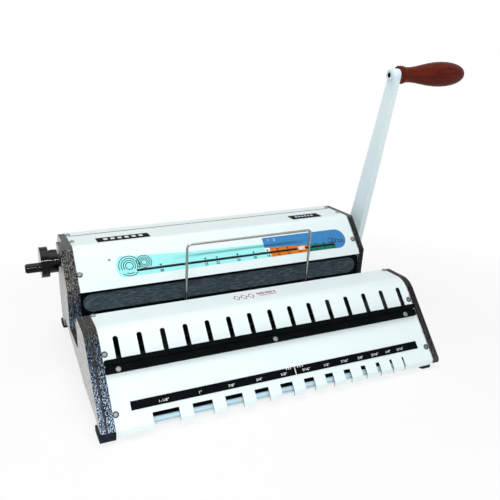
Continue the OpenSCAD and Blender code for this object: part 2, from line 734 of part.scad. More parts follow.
// Rocker: one shaft and, at each side, a lower arm for the link and an upper one
module rocker_shaft() color(steel) at_origin()
    rod_x(rocker_c, rocker_shaft_d, -link_x + arm_t / 2, link_x - arm_t / 2);
module rocker_arms() color(plate_grey) at_origin() both_sides() difference() {
    union() {
        along_x(link_x - 10.5, link_x - 4.5) bar_outline(rocker_c, 10, rocker_pin, 8);
        along_x(frame_x + 15, frame_x + 21) bar_outline(rocker_c, 10, jaw_pin, 7);
        rod_x(rocker_c, 20, frame_x + 15, link_x - 4.5);
        rod_x(rocker_pin, pin_c, link_x - 5, link_x + 4);
        rod_x(jaw_pin, pin_c, frame_x + 7, frame_x + 16);
    }
    rod_x(rocker_c, rocker_shaft_d, frame_x, link_x);
}
module rocker_bushes() color(brass) at_origin() both_sides()
    ring_x(rocker_c, rocker_shaft_d + 5, rocker_shaft_d + 2 * run, frame_x - 3, frame_x + 4);

// Links from the main shaft to the rocker, under the trough
module closer_links() color(plate_grey) at_origin() both_sides() difference() {
    along_x(link_x - 3, link_x + 3) union() {
        bar_outline(rocker_pin, 6, crank_pin, 6);
        for (c = [rocker_pin, crank_pin]) translate(c) circle(8);
    }
    for (c = [rocker_pin, crank_pin]) rod_x(c, pin_c + 2 * run, link_x - 5, link_x + 5);
}

// Main shaft with its cranks
module main_shaft() color(steel) at_origin() difference() {
    rod_x(shaft_c, shaft_d, -x_in - blind + 0.5, lever_x1 - 0.2);
    rod_x(shaft_c, 8, lever_x0 - 8, lever_x1);
}
module closer_cranks() color(plate_grey) at_origin() both_sides() difference() {
    union() {
        along_x(link_x + 4.5, link_x + 10.5) bar_outline(shaft_c, 15, crank_pin, 9);
        rod_x(shaft_c, 28, link_x + 4.5, link_x + 17);
        rod_x(crank_pin, pin_c, link_x - 4, link_x + 5);
    }
    rod_x(shaft_c, shaft_d, link_x, x_in);
}
module punch_cranks() color(plate_grey) at_origin() both_sides() difference() {
    union() {
        along_x(leg_x + leg_t / 2 + 1, leg_x + leg_t / 2 + 7)
            bar_outline(shaft_c, 13, punch_pin, 6);
        rod_x(punch_pin, pin_p, leg_x - leg_t / 2 - 0.5, leg_x + leg_t / 2 + 2);
    }
    rod_x(shaft_c, shaft_d, leg_x, link_x);
}
module shaft_bush(length) {
    ring_x(shaft_c, bush_d, shaft_d + 2 * run, x_in, x_in + length);
    ring_x(shaft_c, bush_d + 6, shaft_d + 2 * run, x_in - 3, x_in);
}
module shaft_bushes() color(brass) at_origin() {
    shaft_bush(plate_t);
    mirror([1, 0, 0]) shaft_bush(blind);
}

// Lever with its hub, bolt and grip
module lever_hub() color(steel) at_origin()
    ring_x(shaft_c, 30, shaft_d, x_out + 0.6, lever_x0);
module lever_arm() color(shell_white) at_origin() difference() {
    along_x(lever_x0, lever_x1) bar_outline(shaft_c, lever_w0 / 2, lever_end, lever_w1 / 2);
    rod_x(shaft_c, shaft_d, lever_x0 - 1, lever_x1 + 1);
    rod_x(lever_end, 8, lever_x0 - 1, lever_x1 + 1);
}
module lever_bolt() color(black) at_origin() difference() {
    union() {
        rod_x(shaft_c, 24, lever_x1, lever_x1 + 2);
        rod_x(shaft_c, 13, lever_x1 + 2, lever_x1 + 9);
        rod_x(shaft_c, 8, lever_x0 - 7, lever_x1 + 2);
    }
    rod_x(shaft_c, 6, lever_x1 + 5, lever_x1 + 10);
}
// Radius of the grip along it, from the collar to the round end
grip_pts = [[0, 0.355], [0.05, 0.355], [0.075, 0.33], [0.1, 0.305], [0.17, 0.3],
    [0.25, 0.33], [0.34, 0.385], [0.44, 0.445], [0.54, 0.485], [0.63, 0.5], [0.72, 0.49],
    [0.8, 0.455], [0.87, 0.4], [0.92, 0.335], [0.96, 0.25], [0.985, 0.16], [1, 0.05]];
module grip() color(red_wood) at_origin() difference() {
    translate([grip_x0, lever_end[0], lever_end[1]]) rotate([0, 90, 0]) rotate_extrude()
        polygon(concat([[0, 0]], [for (p = grip_pts) [p[1] * grip_d, p[0] * grip_l]],
            [[0, grip_l]]));
    rod_x(lever_end, 8 + 2 * run, grip_x0 - 1, grip_x0 + 0.78 * grip_l);
}
module grip_bolt() color(black) at_origin() difference() {
    union() {
        rod_x(lever_end, 13, lever_x0 - 5, lever_x0);
        rod_x(lever_end, 8, lever_x0, grip_x0 + 0.76 * grip_l);
    }
    rod_x(lever_end, 6, lever_x0 - 6, lever_x0 - 2);
}

// Wire bail that holds the sheets up in the trough
bail_c = [front_d + 12, front_h - 15];
bail_lean = 8.3;
bend_r = 5;
module wire_bend() rotate_extrude(angle = 90) translate([bend_r, 0]) circle(d = bail_d);
module bail_half() {
    translate([bail_w / 2 + bend_r, 0, 0]) rotate([0, 90, 0]) cylinder(d = bail_d, h = 8);
    translate([bail_w / 2 + bend_r, 0, bend_r]) rotate([90, 0, 0]) rotate([0, 0, 180])
        wire_bend();
    translate([bail_w / 2, 0, bend_r]) cylinder(d = bail_d, h = bail_h - 2 * bend_r);
    translate([bail_w / 2 - bend_r, 0, bail_h - bend_r]) rotate([90, 0, 0]) wire_bend();
    translate([0, 0, bail_h]) rotate([0, 90, 0]) cylinder(d = bail_d, h = bail_w / 2 - bend_r);
}
module bail() color(steel) at_origin() translate([bail_mid, bail_c[0], bail_c[1]])
    rotate([bail_lean, 0, 0]) both_sides() bail_half();
module bail_clips() color(black) at_origin() translate([bail_mid, 0, 0])
    both_sides() difference() {
    translate([bail_w / 2 + bend_r + 1.5, front_d, bail_c[1] - 6]) cube([6, 16, 12]);
    rod_x(bail_c, bail_d + 2 * run, bail_w / 2, bail_w / 2 + 20);
}

// Size adjuster: spindle, nut and pointer, turned by the knob at the left
module size_spindle() color(steel) at_origin()
    rod_x(spindle_c, spindle_d, knob_x3 + 1.5, x_in + blind - 0.5);
module spindle_bushes() color(brass) at_origin() {
    ring_x(spindle_c, small_bush_d, spindle_d + 2 * run, x_in, x_in + blind);
    ring_x(spindle_c, small_bush_d, spindle_d + 2 * run, -x_out, -x_in);
}
spindle_s = (spindle_c - [throat_y, throat_z]) * sl;
spindle_n = (spindle_c - [throat_y, throat_z]) * nl;
module pointer_nut() color(brass) at_origin() translate([pointer_x, 0, 0]) difference() {
    union() {
        rod_x(spindle_c, 12, -8, 8);
        rear_slope_frame() {
            translate([-6, pointer_s - 5, -sheet_t - 2.4]) cube([12, spindle_s - pointer_s + 8, 2]);
            translate([-6, spindle_s - 4, spindle_n]) cube([12, 7, -spindle_n - sheet_t - 0.5]);
        }
    }
    rod_x(spindle_c, spindle_d + 2 * run, -9, 9);
}
module pointer_flag() color([0.85, 0.35, 0.25]) at_origin() translate([pointer_x, 0, 0])
    rear_slope_frame() {
        translate([-1.5, pointer_s - 0.8, -sheet_t - 0.4]) cube([3, 1.6, sheet_t + 1]);
        translate([-5, pointer_s - 2.6, 0.6]) cube([10, 5.2, 1.2]);
    }
module knob() color(black) at_origin() difference() {
    union() {
        rod_x(spindle_c, 16, knob_x1, knob_x0);
        rod_x(spindle_c, 28, knob_x2, knob_x1);
        rod_x(spindle_c, knob_d, knob_x3, knob_x2);
    }
    rod_x(spindle_c, spindle_d, knob_x3 + 1.5, knob_x0 + 1);
    knob_screw_hole();
    rod_x(spindle_c - [0, crank_off], 5, knob_x3 - 1, knob_x3 + 1.4);
}
module knob_screw_hole() translate([(knob_x1 + knob_x2) / 2, spindle_c[0], spindle_c[1] + 4])
    cylinder(d = 4, h = 12);
module knob_screw() color(steel) at_origin()
    translate([(knob_x1 + knob_x2) / 2, spindle_c[0], spindle_c[1] + 4]) cylinder(d = 4, h = 8);
module knob_crank() color(black) at_origin() {
    rod_x(spindle_c - [0, crank_off], crank_d, knob_x3 - crank_l + 1.2, knob_x3);
    rod_x(spindle_c - [0, crank_off], crank_d - 2.4, knob_x3 - crank_l, knob_x3 - 1);
    rod_x(spindle_c - [0, crank_off], 5, knob_x3 - 1, knob_x3 + 1.4);
}

// Chip tray on two runners, pulled out to the rear
tray_y0 = die_y0 + 8.5;
module chip_tray() color(plate_grey) at_origin() difference() {
    union() {
        translate([-tray_half + 0.6, tray_y0, 8.2])
            cube([2 * tray_half - 1.2, body_d - 1.4 - tray_y0, 24.8]);
        translate([-tray_half + 0.2, body_d - 1.4, 7.6]) cube([2 * tray_half - 0.4, 2.2, 26.6]);
    }
    translate([-tray_half + 1.8, tray_y0 + 1.2, 9.4])
        cube([2 * tray_half - 3.6, body_d - 3.6 - tray_y0, 30]);
    translate([0, body_d - 10, 36]) rotate([-90, 0, 0]) cylinder(d = 26, h = 20);
}
module tray_runners() color(steel) at_origin() both_sides()
    translate([tray_half - 0.2, tray_y0, base_z + 1.5]) {
        cube([3, body_d - 12 - tray_y0, 12]);
        translate([-10, 0, 0]) cube([11, body_d - 12 - tray_y0, 2.6]);
    }

left_side_plate();
right_side_plate();
left_side_cover();
base_pan();
cover_rails();
front_cover();
upper_cover();
rear_cover();
trough_panel();
rubber_feet();
flush_screws();
cover_screws();
tie_rods();
tie_screws();
die_block();
front_pad();
stripper_plate();
paper_stop();
guide_posts();
anvil_bar();
anvil_screws();
scale_strip();
name_plates();
closer_frame();
guide_rods();
jaw_bar();
jaw_carriage();
rocker_shaft();
rocker_arms();
rocker_bushes();
closer_links();
main_shaft();
closer_cranks();
punch_cranks();
shaft_bushes();
punch_bar();
punch_pins();
lever_hub();
lever_arm();
lever_bolt();
grip();
grip_bolt();
bail();
bail_clips();
size_spindle();
spindle_bushes();
pointer_nut();
pointer_flag();
knob();
knob_screw();
knob_crank();
chip_tray();
tray_runners();
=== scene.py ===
"""Wire binding closer: materials, printed marks, stage, camera and lights around the
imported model. Lengths are metres; the helper at() takes millimetres of the machine: X
from the middle of the row of slots, Y from the front lip, Z from the table."""
import math

import bmesh
import bpy
from mathutils import Matrix, Vector
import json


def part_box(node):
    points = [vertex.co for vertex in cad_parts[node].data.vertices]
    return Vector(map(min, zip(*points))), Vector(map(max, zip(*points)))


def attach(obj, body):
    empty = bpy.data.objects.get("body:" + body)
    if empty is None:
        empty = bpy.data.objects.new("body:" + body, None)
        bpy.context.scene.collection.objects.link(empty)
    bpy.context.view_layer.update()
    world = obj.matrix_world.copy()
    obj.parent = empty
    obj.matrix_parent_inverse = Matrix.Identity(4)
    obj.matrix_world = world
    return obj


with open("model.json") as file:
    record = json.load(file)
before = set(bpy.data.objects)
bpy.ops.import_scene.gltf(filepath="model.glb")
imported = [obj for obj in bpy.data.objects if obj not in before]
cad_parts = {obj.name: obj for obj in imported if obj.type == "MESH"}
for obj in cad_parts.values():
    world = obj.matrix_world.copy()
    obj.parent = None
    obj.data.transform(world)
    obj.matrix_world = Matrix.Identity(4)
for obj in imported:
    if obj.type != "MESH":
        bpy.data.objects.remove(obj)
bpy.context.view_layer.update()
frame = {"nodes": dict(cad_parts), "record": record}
MM = 0.001

# Machine origin in the frame, read from the front cover. The middle of the row of slots
# stands a little to the right of the middle of the cover.
ROW_X = 1.4
COVER_LOW, COVER_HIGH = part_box("front_cover")
ORIGIN = Vector(((COVER_LOW.x + COVER_HIGH.x) / 2 + ROW_X * MM, COVER_LOW.y, 0))

# Faces that carry marks, in millimetres of the machine. The two slopes rise at the same
# angle, each from a lower edge given as (y, z).
SLOPE = math.radians(50)
FRONT_BEND = (0.0, 12.0)
THROAT_LIP = (169.4, 97.5)
FRONT_TOP_Z, REAR_TOP_Z, PLATE_TOP_Z = 93.0, 144.0, 144.8


def at(x, y, z):
    """Place of a machine point given in millimetres."""
    return ORIGIN + Vector((x, y, z)) * MM


def slope_matrix(foot):
    """Frame on a slope: X along the machine, Y up the slope, Z out of it."""
    return (Matrix.Translation(at(0, *foot)) @ Matrix.Rotation(SLOPE, 4, "X")
            @ Matrix.Scale(MM, 4))


def top_matrix(z):
    """Frame on a level face at height z, in millimetres of the machine."""
    return Matrix.Translation(at(0, 0, z)) @ Matrix.Scale(MM, 4)


# Node graphs
NOISE_SPAN = (0.3, 0.7)  # most values of a noise lie between these


def scaled(tone, factor, plus=0.0):
    """A tone made darker or brighter."""
    return tuple(c * factor + plus for c in tone)


class Graph:
    """A material's node tree with short ways to add and join nodes. The named arguments
    are constants of its shader, with _ for each blank in their names."""

    def __init__(self, name, **constants):
        self.mat = bpy.data.materials.new(name)
        self.mat.use_nodes = True
        self.tree = self.mat.node_tree
        self.shader = self.tree.nodes["Principled BSDF"]
        for key, value in constants.items():
            self.shader.inputs[key.replace("_", " ")].default_value = value
        coord = self.add("ShaderNodeTexCoord")
        self.place, self.normal = coord.outputs["Object"], coord.outputs["Normal"]

    def add(self, kind, **settings):
        """A new node with its settings."""
        node = self.tree.nodes.new(kind)
        for key, value in settings.items():
            setattr(node, key, value)
        return node

    def join(self, out, socket):
        """Link an output to a socket."""
        self.tree.links.new(out, socket)

    def feed(self, value, socket):
        """Give a socket a number, a tone or the output of another node."""
        if isinstance(value, float):
            socket.default_value = value
        elif isinstance(value, tuple):
            socket.default_value = (*value, 1)
        else:
            self.join(value, socket)

    def mapped(self, vector, **settings):
        """A vector moved, turned or stretched by a Mapping node."""
        node = self.add("ShaderNodeMapping")
        for key, value in settings.items():
            node.inputs[key].default_value = value
        self.join(vector, node.inputs["Vector"])
        return node.outputs["Vector"]

    def part(self, vector, axis):
        """One component of a vector."""
        node = self.add("ShaderNodeSeparateXYZ")
        self.join(vector, node.inputs["Vector"])
        return node.outputs[axis]

    def length(self, vector):
        """Length of a vector."""
        node = self.add("ShaderNodeVectorMath", operation="LENGTH")
        self.join(vector, node.inputs[0])
        return node.outputs["Value"]

    def math(self, kind, *values):
        """A sum, product or the like of one or two values."""
        node = self.add("ShaderNodeMath", operation=kind)
        for value, socket in zip(values, node.inputs):
            self.feed(value, socket)
        return node.outputs["Value"]

    def facing(self, axis):
        """How squarely the surface faces along an axis, either way: 0 to 1."""
        return self.math("ABSOLUTE", self.part(self.normal, axis))

    def mix(self, fac, a, b, blend="MIX"):
        """Two tones mixed by a factor."""
        node = self.add("ShaderNodeMix", data_type="RGBA", blend_type=blend)
        for key, value in (("Factor", fac), ("A", a), ("B", b)):
            self.feed(value, node.inputs[key])
        return node.outputs["Result"]

    def noise(self, scale, detail=3.0, rough=0.55, vector=None, distort=0.0):
        """A noise over the object's place, or over another vector."""
        node = self.add("ShaderNodeTexNoise")
        node.inputs["Scale"].default_value = scale
        node.inputs["Detail"].default_value = detail
        node.inputs["Roughness"].default_value = rough
        node.inputs["Distortion"].default_value = distort
        self.join(vector or self.place, node.inputs["Vector"])
        return node.outputs["Fac"]

    def ramp(self, fac, stops):
        """Tones along a ramp; stops are (place, tone)."""
        node = self.add("ShaderNodeValToRGB")
        first, last = node.color_ramp.elements
        first.position, first.color = stops[0][0], (*stops[0][1], 1)
        last.position, last.color = stops[-1][0], (*stops[-1][1], 1)
        for place, tone in stops[1:-1]:
            node.color_ramp.elements.new(place).color = (*tone, 1)
        self.join(fac, node.inputs["Fac"])
        return node.outputs["Color"]

    def between(self, noise, tone, other):
        """A tone that wanders between two tones with a noise."""
        return self.ramp(noise, [(NOISE_SPAN[0], tone), (NOISE_SPAN[1], other)])

    def range(self, value, low, high, out_low=0.0, out_high=1.0):
        """A value's way from low to high, as a number from out_low to out_high."""
        node = self.add("ShaderNodeMapRange")
        for key, number in (("From Min", low), ("From Max", high),
                            ("To Min", out_low), ("To Max", out_high)):
            node.inputs[key].default_value = number
        self.join(value, node.inputs["Value"])
        return node.outputs["Result"]

    def colour(self, out):
        """Set the base colour."""
        self.join(out, self.shader.inputs["Base Color"])

    def rough(self, noise, low, high):
        """Set a roughness that wanders between two values with a noise."""
        self.join(self.range(noise, *NOISE_SPAN, low, high), self.shader.inputs["Roughness"])

    def bump(self, height, strength, distance):
        """Set a bump; its distance is in metres."""
        node = self.add("ShaderNodeBump")
        node.inputs["Strength"].default_value = strength
        node.inputs["Distance"].default_value = distance
        self.join(height, node.inputs["Height"])
        self.join(node.outputs["Normal"], self.shader.inputs["Normal"])


# Sheet metal paints. A cloudy tone changes slowly over the sheet, and a fine noise gives
# the orange peel.
CLOUD_GRAIN, PEEL_GRAIN = 9.0, 520.0
LIP_Z = (3.5, 12.5)         # foot and top of the bottom sheet's front lip, millimetres
LIP_BACK_Y = (13.0, 14.0)   # where the lip ends and the painted shade of the inside begins
SOCKET_RADIUS, SOCKET_RIM = 0.0032, 0.0002


def enamel_skin(g, low, high):
    """Gloss and orange peel that the enamels share."""
    g.rough(g.noise(60.0), low, high)
    g.bump(g.noise(PEEL_GRAIN, 1.0), 0.06, 0.0004)


def painted_sheet(name, pale, shade):
    """Smooth enamel with a slight orange peel and a cloudy tone."""
    g = Graph(name, Specular_IOR_Level=0.4)
    g.colour(g.between(g.noise(CLOUD_GRAIN, 2.0), shade, pale))
    enamel_skin(g, 0.30, 0.40)
    return g.mat


def cut_sheet(name, pale, shade, edge):
    """The same enamel on a sheet whose faces that face along X, the walls of its slots and
    notches and its ends, are dark.
    """
    g = Graph(name, Specular_IOR_Level=0.4)
    paint = g.between(g.noise(CLOUD_GRAIN, 2.0), shade, pale)
    # Dark tone on the faces that face along X.
    dark_sides = g.between(g.noise(400.0), edge, scaled(edge, 1.6))
    g.colour(g.mix(g.range(g.facing("X"), 0.35, 0.6), paint, dark_sides))
    enamel_skin(g, 0.30, 0.40)
    return g.mat


def pan_sheet(name, pale, shade):
    """Pale enamel on the front lip of the bottom sheet, with a darker band halfway up, painted
    shade of a bend, and lighter below it. What lies behind the lip is dark as painted shade
    of the inside."""
    g = Graph(name, Specular_IOR_Level=0.05)
    along = g.mapped(g.place, Scale=(CLOUD_GRAIN, CLOUD_GRAIN, 160.0))
    cloud = g.ramp(g.noise(1.0, 2.0, vector=along), [(0.4, shade), (0.6, pale)])
    rise = g.range(g.part(g.place, "Z"), *(at(0, 0, z).z for z in LIP_Z))
    # Painted shade of a bend: a darker band halfway up the lip, with the part below it painted
    # lighter.
    bend_shade = g.ramp(rise, [(0.26, (1.2, 1.05, 0.98)), (0.33, (0.72, 0.68, 0.62)),
                           (0.46, (0.66, 0.64, 0.60)), (0.53, (1.0, 1.0, 1.0))])
    paint = g.mix(1.0, cloud, bend_shade, "MULTIPLY")
    # Painted shade: the inside behind the lip is near black.
    inside = g.between(g.noise(60.0), (0.002, 0.003, 0.004), (0.006, 0.008, 0.010))
    behind = g.range(g.part(g.place, "Y"), *(at(0, y, 0).y for y in LIP_BACK_Y))
    g.colour(g.mix(behind, paint, inside))
    enamel_skin(g, 0.35, 0.45)
    return g.mat


def socket_head(name, node):
    """Pale head of a bolt along X, with painted shade inside its round socket."""
    g = Graph(name, Specular_IOR_Level=0.3)
    low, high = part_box(node)
    centre = (0, -(low.y + high.y) / 2, -(low.z + high.z) / 2)
    away = g.length(g.mapped(g.place, Location=centre, Scale=(0, 1, 1)))
    paint = g.between(g.noise(200.0), (0.62, 0.71, 0.74), (0.72, 0.82, 0.85))
    # Painted shade in the hollow of the socket.
    dark = g.between(g.noise(300.0), (0.002, 0.002, 0.003), (0.008, 0.008, 0.010))
    g.colour(g.mix(g.range(away, SOCKET_RADIUS, SOCKET_RADIUS + SOCKET_RIM), dark, paint))
    g.rough(g.noise(90.0), 0.35, 0.45)
    g.bump(g.noise(PEEL_GRAIN, 1.0), 0.05, 0.0003)
    return g.mat


# Hammer finish of the side plates, in metres. Each pair of heights is where its look
# changes: the specks thin out and dim from the foot upwards, painted glints that are
# brightest at the foot, the tone turns at the shoulder of the front part, the level edges
# of the rear part begin above it, and the dark joint ends. JOINT_HALF is half the width
# of the joint's line, full and with its soft edge.
HAMMER_GRAIN = 980.0
THIN_Z, GLINT_FADE_Z = (0.010, 0.085), (0.01275, 0.08075)
SHOULDER_Z, REAR_LEVEL_Z = (0.078, 0.097), (0.096, 0.100)
JOINT_TOP_Z, JOINT_HALF = (0.088, 0.097), (0.0008, 0.0012)
LEVEL_REAR, LEVEL_FRONT = (0.14, 0.15, 0.15), (0.085, 0.08, 0.072)


def steep_edges(g, specks, height, low_pale, high_pale, mid, dark, lift):
    """Pale specks in a dark ground. At the foot they are brighter and denser by lift, painted
    glints that dim upwards.
    """
    upper = g.range(height, *SHOULDER_Z)
    denser = g.range(height, *THIN_Z, lift, -0.07)
    spread = g.math("ADD", specks, g.math("ADD", denser, g.math("MULTIPLY", upper, 0.045)))
    glint_tone = g.mix(g.range(height, *GLINT_FADE_Z), low_pale, scaled(low_pale, 0.48))
    ground = g.mix(upper, g.ramp(spread, [(0.40, dark), (0.53, mid)]),
                   g.ramp(spread, [(0.45, dark), (0.55, scaled(high_pale, 0.10))]))
    return g.mix(g.range(spread, 0.52, 0.575), ground, g.mix(upper, glint_tone, high_pale))


def level_edges(g, specks, height):
    """Fine even grain on the rear part, darker with coarser specks on the front part."""
    rear = g.ramp(g.noise(1100.0, 2.0), [(0.38, scaled(LEVEL_REAR, 0.5)), (0.62, LEVEL_REAR)])
    front = g.ramp(specks, [(0.49, scaled(LEVEL_FRONT, 0.08)),
                            (0.62, scaled(LEVEL_FRONT, 2.0))])
    return g.mix(g.range(height, *REAR_LEVEL_Z), front, rear)


def painted_light_sides(g):
    """Pale mottled grey, slightly drawn out up the slope: painted light on the broad side faces.
    """
    up_slope = g.mapped(g.place, Rotation=(-SLOPE, 0, 0))
    mottle = g.noise(1.0, 3.0, 0.6, g.mapped(up_slope, Scale=(1.0, 190.0, 560.0)), 0.5)
    return g.ramp(mottle, [(0.34, (0.28, 0.285, 0.28)), (0.47, (0.58, 0.59, 0.575)),
                           (0.68, (0.80, 0.81, 0.79))])


def joint_line(g, height, joint_x):
    """1 along the joint with the next sheet as far up as JOINT_TOP_Z, 0 elsewhere."""
    off = g.math("ABSOLUTE", g.math("SUBTRACT", g.part(g.place, "X"), joint_x))
    return g.math("MULTIPLY", g.range(off, *JOINT_HALF, 1.0, 0.0),
                  g.range(height, *JOINT_TOP_Z, 1.0, 0.0))


def hammertone(name, joint_x, **look):
    """Hammer finish with a dark line along the joint at joint_x on the X axis. The
    broad side faces, which face along X, are paler as painted light. The look holds what
    steep_edges takes."""
    g = Graph(name, Specular_IOR_Level=0.03)
    specks = g.noise(HAMMER_GRAIN, 1.5, 0.5, distort=0.4)
    height = g.part(g.place, "Z")
    edges = g.mix(g.range(g.facing("Z"), 0.70, 0.92),
                  steep_edges(g, specks, height, **look), level_edges(g, specks, height))
    black = g.ramp(specks, [(0.3, (0.004, 0.005, 0.007)), (0.8, (0.01, 0.012, 0.015))])
    edges = g.mix(joint_line(g, height, joint_x), edges, black)
    g.colour(g.mix(g.range(g.facing("X"), 0.75, 0.95), edges, painted_light_sides(g)))
    g.rough(g.noise(900.0, 2.0, 0.6), 0.35, 0.5)
    g.bump(specks, 0.3, 0.0004)
    return g.mat


# Dark finishes, metals, wood, plastic and ink
def grained_pad(name):
    """Dark blue-grey paint with a fine grain along the machine."""
    g = Graph(name, Specular_IOR_Level=0.05)
    streaks = g.noise(1.0, 6.0, 0.7, g.mapped(g.place, Scale=(110.0, 600.0, 800.0)))
    tone = g.ramp(streaks, [(0.32, (0.034, 0.052, 0.063)), (0.52, (0.066, 0.097, 0.118)),
                            (0.70, (0.20, 0.25, 0.28))])
    shade = g.between(g.noise(45.0), (0.6, 0.6, 0.6), (1.0, 1.0, 1.0))
    g.colour(g.mix(0.45, tone, shade, "MULTIPLY"))
    g.rough(streaks, 0.65, 0.45)
    g.bump(streaks, 0.25, 0.0003)
    return g.mat


def dark_paint(name, tone, low, high, grain=380.0):
    """Black or dark finish with a soft uneven gloss."""
    g = Graph(name, Specular_IOR_Level=0.015)
    g.colour(g.ramp(g.noise(70.0, 4.0), [(0.35, tone), (0.72, scaled(tone, 1.6, 0.001))]))
    g.rough(g.noise(110.0), low, high)
    g.bump(g.noise(grain, 2.0), 0.12, 0.0003)
    return g.mat


def rubber(name):
    """Dull blue-black rubber with a rough skin."""
    g = Graph(name, Specular_IOR_Level=0.08)
    g.colour(g.ramp(g.noise(260.0, 4.0), [(0.3, (0.006, 0.009, 0.013)),
                                          (0.75, (0.025, 0.034, 0.045))]))
    g.rough(g.noise(120.0), 0.6, 0.8)
    g.bump(g.noise(700.0), 0.3, 0.0004)
    return g.mat


def bright_metal(name, tone, low, high, stretch=(1.0, 1.0, 1.0)):
    """Plated or machined metal with fine tool marks along one axis."""
    g = Graph(name, Metallic=1.0)
    marks = g.noise(300.0, 4.0, 0.6, g.mapped(g.place, Scale=stretch))
    g.colour(g.between(marks, scaled(tone, 0.82), tone))
    g.rough(marks, low, high)
    g.bump(marks, 0.08, 0.0002)
    return g.mat


def turned_wood(name):
    """Lacquered red-brown wood with its grain along the grip."""
    g = Graph(name, Specular_IOR_Level=0.05)
    grain = g.noise(1.0, 5.0, 0.65, g.mapped(g.place, Scale=(16.0, 190.0, 190.0)), 0.6)
    pores = g.noise(1.0, 3.0, 0.7, g.mapped(g.place, Scale=(90.0, 1300.0, 1300.0)))
    tone = g.ramp(grain, [(0.3, (0.058, 0.009, 0.006)), (0.5, (0.105, 0.015, 0.009)),
                          (0.72, (0.165, 0.024, 0.013))])
    pore = g.ramp(pores, [(0.35, (0.55, 0.5, 0.5)), (0.55, (1, 1, 1))])
    g.colour(g.mix(0.5, tone, pore, "MULTIPLY"))
    g.rough(grain, 0.32, 0.46)
    g.bump(pores, 0.1, 0.0003)
    return g.mat


def moulded(name, tone, low, high):
    """Moulded plastic with a fine spark-eroded texture."""
    g = Graph(name, Specular_IOR_Level=0.15)
    g.colour(g.ramp(g.noise(55.0), [(0.3, tone), (0.75, scaled(tone, 1.5, 0.001))]))
    g.rough(g.noise(200.0), low, high)
    g.bump(g.noise(300.0, 1.0), 0.015, 0.0001)
    return g.mat


def ink(name, tone, worn):
    """Screen print: flat ink with a slight mottle, dull beside the paint."""
    g = Graph(name, Specular_IOR_Level=0.05)
    g.colour(g.ramp(g.noise(240.0, 4.0), [(0.3, tone), (0.75, worn)]))
    g.rough(g.noise(90.0, 2.0), 0.42, 0.55)
    return g.mat


WHITE, WHITE_SHADE = (0.80, 0.905, 0.91), (0.785, 0.89, 0.895)
SHEET_WHITE = painted_sheet("white_enamel", WHITE, WHITE_SHADE)
SLOTTED_WHITE = cut_sheet("slotted_enamel", WHITE, WHITE_SHADE, (0.03, 0.045, 0.06))
LEVER_PAINT = painted_sheet("lever_enamel", (0.80, 0.94, 0.97), (0.77, 0.91, 0.945))
PAN_PAINT = pan_sheet("pan_enamel", (0.60, 0.82, 0.93), (0.50, 0.72, 0.85))
# Lit and shaded copies of one hammer finish: the left plates' copy has bright blue specks at the
# foot and a brown upper tone as painted glints, and the other copy is darker as painted shade.
HAMMER_LEFT_LIT = hammertone(
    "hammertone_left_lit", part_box("left_side_plate")[0].x,
    low_pale=(0.60, 0.77, 0.98), high_pale=(0.40, 0.37, 0.34),
    mid=(0.04, 0.055, 0.085), dark=(0.006, 0.009, 0.014), lift=0.018)
HAMMER_SHADED = hammertone(
    "hammertone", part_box("right_side_plate")[0].x,
    low_pale=(0.13, 0.125, 0.12), high_pale=(0.12, 0.115, 0.115),
    mid=(0.03, 0.027, 0.027), dark=(0.008, 0.007, 0.007), lift=0.01)
PAD = grained_pad("grained_pad")
BLACK = dark_paint("black_enamel", (0.0018, 0.0028, 0.0034), 0.35, 0.5)
PLATE = dark_paint("black_anodised", (0.0022, 0.003, 0.0042), 0.45, 0.6, 900.0)
RUBBER = rubber("rubber")
STEEL = bright_metal("ground_steel", (0.60, 0.61, 0.63), 0.25, 0.4, (0.15, 1.0, 1.0))
ZINC = bright_metal("zinc_plate", (0.36, 0.37, 0.38), 0.3, 0.45)
WIRE = bright_metal("bright_wire", (0.34, 0.34, 0.33), 0.16, 0.28, (1.0, 1.0, 0.3))
SCREW = bright_metal("screw_zinc", (0.27, 0.28, 0.29), 0.35, 0.5)
BRONZE = bright_metal("sintered_bronze", (0.60, 0.42, 0.20), 0.35, 0.5)
# Black steel is the real finish of the black screws. On the guide rods, size spindle and tie rods
# it is painted shade, so that the inside stays dark through the slots.
BLACK_STEEL_AND_SHADE = dark_paint("black_steel_and_shade", (0.008, 0.009, 0.010), 0.25, 0.4)
WOOD = turned_wood("red_wood")
GLOSS_BLACK = moulded("gloss_black", (0.0006, 0.0008, 0.0012), 0.03, 0.07)
TRAY = moulded("tray_grey", (0.09, 0.095, 0.10), 0.45, 0.6)
POINTER = moulded("pointer_pale", (0.72, 0.60, 0.45), 0.3, 0.42)
CYAN_INK = ink("cyan_ink", (0.34, 0.86, 0.86), (0.38, 0.90, 0.90))
BLUE_INK = ink("blue_ink", (0.050, 0.225, 0.50), (0.060, 0.25, 0.53))
ORANGE_INK = ink("orange_ink", (0.70, 0.18, 0.008), (0.80, 0.21, 0.012))
GREEN_INK = ink("green_ink", (0.010, 0.18, 0.13), (0.015, 0.21, 0.155))
RED_INK = ink("red_ink", (0.30, 0.035, 0.05), (0.40, 0.07, 0.08))
DARK_INK = ink("dark_ink", (0.012, 0.03, 0.04), (0.03, 0.05, 0.06))
PALE_INK = ink("pale_ink", (0.80, 0.84, 0.85), (0.86, 0.90, 0.90))

